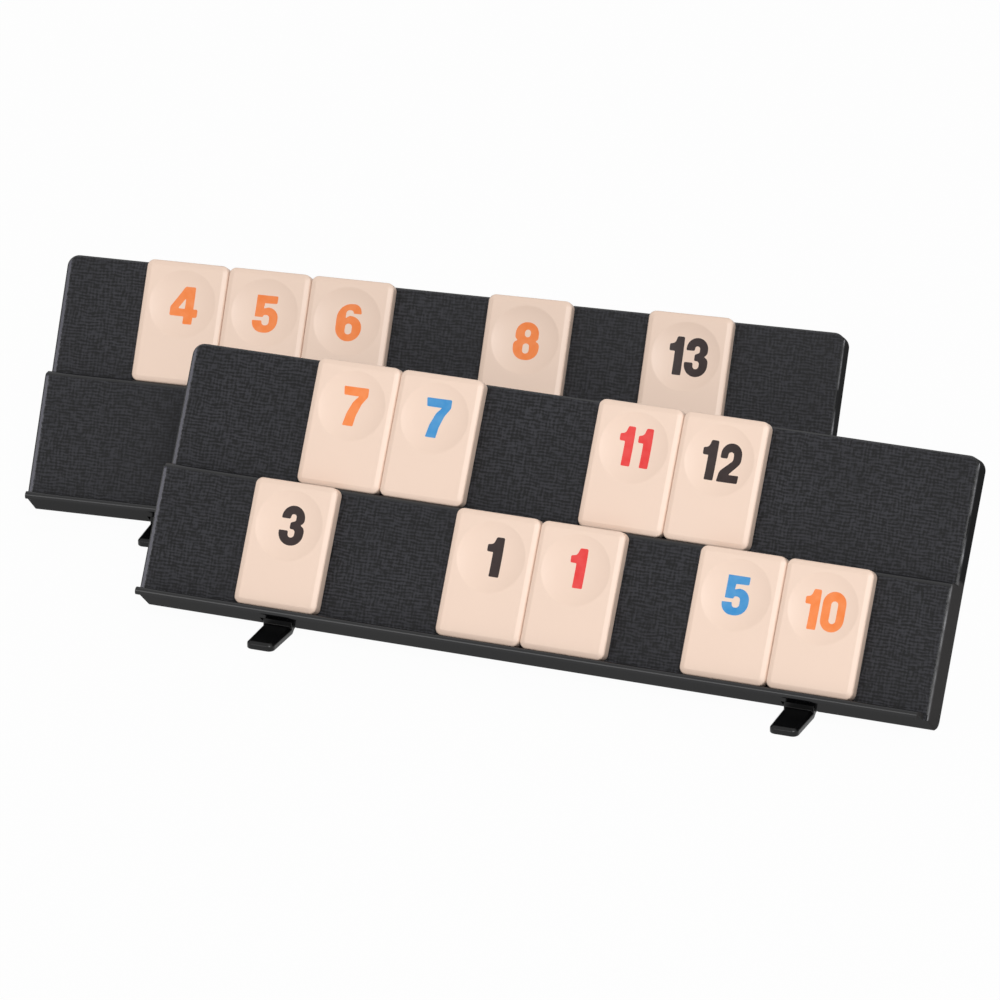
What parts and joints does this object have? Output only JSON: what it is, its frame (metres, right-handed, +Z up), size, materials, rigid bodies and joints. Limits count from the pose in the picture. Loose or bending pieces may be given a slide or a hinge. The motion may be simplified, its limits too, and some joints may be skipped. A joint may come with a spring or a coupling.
{
  "type": "rummy tile rack set",
  "caption": "Two-tier black tile racks with fold-out legs, set one behind the other, holding loose cream number tiles.",
  "frame": {"origin": "on the table, at the centre of the ground that the whole set covers", "axes": "+X along the front rack to its right end, +Y from the front rack towards the rear rack, +Z up"},
  "size_m": [0.3101, 0.1357, 0.0734],
  "materials": {
    "rack_plastic": "matte",
    "leg_plastic": "satin",
    "tile_plastic": "satin"
  },
  "bodies": {
    "front_rack": {"front_rack": "rack_plastic"},
    "rear_rack": {"rear_rack": "rack_plastic"},
    "front_left_leg": {"front_left_leg": "leg_plastic"},
    "rear_left_leg": {"rear_left_leg": "leg_plastic"},
    "front_right_leg": {"front_right_leg": "leg_plastic"},
    "rear_right_leg": {"rear_right_leg": "leg_plastic"},
    "front_lower_three_black": {"front_lower_three_black": "tile_plastic"},
    "front_lower_one_black": {"front_lower_one_black": "tile_plastic"},
    "front_lower_one_red": {"front_lower_one_red": "tile_plastic"},
    "front_lower_five_blue": {"front_lower_five_blue": "tile_plastic"},
    "front_lower_ten_orange": {"front_lower_ten_orange": "tile_plastic"},
    "front_upper_seven_orange": {"front_upper_seven_orange": "tile_plastic"},
    "front_upper_seven_blue": {"front_upper_seven_blue": "tile_plastic"},
    "front_upper_eleven_red": {"front_upper_eleven_red": "tile_plastic"},
    "front_upper_twelve_black": {"front_upper_twelve_black": "tile_plastic"},
    "rear_upper_four_orange": {"rear_upper_four_orange": "tile_plastic"},
    "rear_upper_five_orange": {"rear_upper_five_orange": "tile_plastic"},
    "rear_upper_six_orange": {"rear_upper_six_orange": "tile_plastic"},
    "rear_upper_eight_orange": {"rear_upper_eight_orange": "tile_plastic"},
    "rear_upper_thirteen_black": {"rear_upper_thirteen_black": "tile_plastic"}
  },
  "joints": [
    {"name": "front_left_leg_fold", "type": "hinge", "parent": "front_rack", "child": "front_left_leg", "pos_m": [-0.04625, -0.05204, 0.00615], "axis": [1, 0, 0], "range_deg": [0, 60]},
    {"name": "front_right_leg_fold", "type": "hinge", "parent": "front_rack", "child": "front_right_leg", "pos_m": [0.11505, -0.05204, 0.00615], "axis": [1, 0, 0], "range_deg": [0, 60]},
    {"name": "rear_left_leg_fold", "type": "hinge", "parent": "rear_rack", "child": "rear_left_leg", "pos_m": [-0.10859, 0.00585, 0.00615], "axis": [0.9953, 0.0967, 0], "range_deg": [0, 60]},
    {"name": "rear_right_leg_fold", "type": "hinge", "parent": "rear_rack", "child": "rear_right_leg", "pos_m": [0.05195, 0.02145, 0.00615], "axis": [0.9953, 0.0967, 0], "range_deg": [0, 60]},
    {"name": "front_lower_three_black_lift", "type": "slide", "parent": "front_rack", "child": "front_lower_three_black", "axis": [0, 0.5, 0.866], "range_m": [0, 0.045]},
    {"name": "front_lower_one_black_lift", "type": "slide", "parent": "front_rack", "child": "front_lower_one_black", "axis": [0, 0.5, 0.866], "range_m": [0, 0.045]},
    {"name": "front_lower_one_red_lift", "type": "slide", "parent": "front_rack", "child": "front_lower_one_red", "axis": [0, 0.5, 0.866], "range_m": [0, 0.045]},
    {"name": "front_lower_five_blue_lift", "type": "slide", "parent": "front_rack", "child": "front_lower_five_blue", "axis": [0, 0.5, 0.866], "range_m": [0, 0.045]},
    {"name": "front_lower_ten_orange_lift", "type": "slide", "parent": "front_rack", "child": "front_lower_ten_orange", "axis": [0, 0.5, 0.866], "range_m": [0, 0.045]},
    {"name": "front_upper_seven_orange_lift", "type": "slide", "parent": "front_rack", "child": "front_upper_seven_orange", "axis": [0, 0.5, 0.866], "range_m": [0, 0.045]},
    {"name": "front_upper_seven_blue_lift", "type": "slide", "parent": "front_rack", "child": "front_upper_seven_blue", "axis": [0, 0.5, 0.866], "range_m": [0, 0.045]},
    {"name": "front_upper_eleven_red_lift", "type": "slide", "parent": "front_rack", "child": "front_upper_eleven_red", "axis": [0, 0.5, 0.866], "range_m": [0, 0.045]},
    {"name": "front_upper_twelve_black_lift", "type": "slide", "parent": "front_rack", "child": "front_upper_twelve_black", "axis": [0, 0.5, 0.866], "range_m": [0, 0.045]},
    {"name": "rear_upper_four_orange_lift", "type": "slide", "parent": "rear_rack", "child": "rear_upper_four_orange", "axis": [-0.0484, 0.4977, 0.866], "range_m": [0, 0.045]},
    {"name": "rear_upper_five_orange_lift", "type": "slide", "parent": "rear_rack", "child": "rear_upper_five_orange", "axis": [-0.0484, 0.4977, 0.866], "range_m": [0, 0.045]},
    {"name": "rear_upper_six_orange_lift", "type": "slide", "parent": "rear_rack", "child": "rear_upper_six_orange", "axis": [-0.0484, 0.4977, 0.866], "range_m": [0, 0.045]},
    {"name": "rear_upper_eight_orange_lift", "type": "slide", "parent": "rear_rack", "child": "rear_upper_eight_orange", "axis": [-0.0484, 0.4977, 0.866], "range_m": [0, 0.045]},
    {"name": "rear_upper_thirteen_black_lift", "type": "slide", "parent": "rear_rack", "child": "rear_upper_thirteen_black", "axis": [-0.0484, 0.4977, 0.866], "range_m": [0, 0.045]},
    {"name": "rear_rack_place", "type": "slide", "parent": "front_rack", "child": "rear_rack", "axis": [0, 1, 0], "range_m": [0, 0.1]}
  ]
}
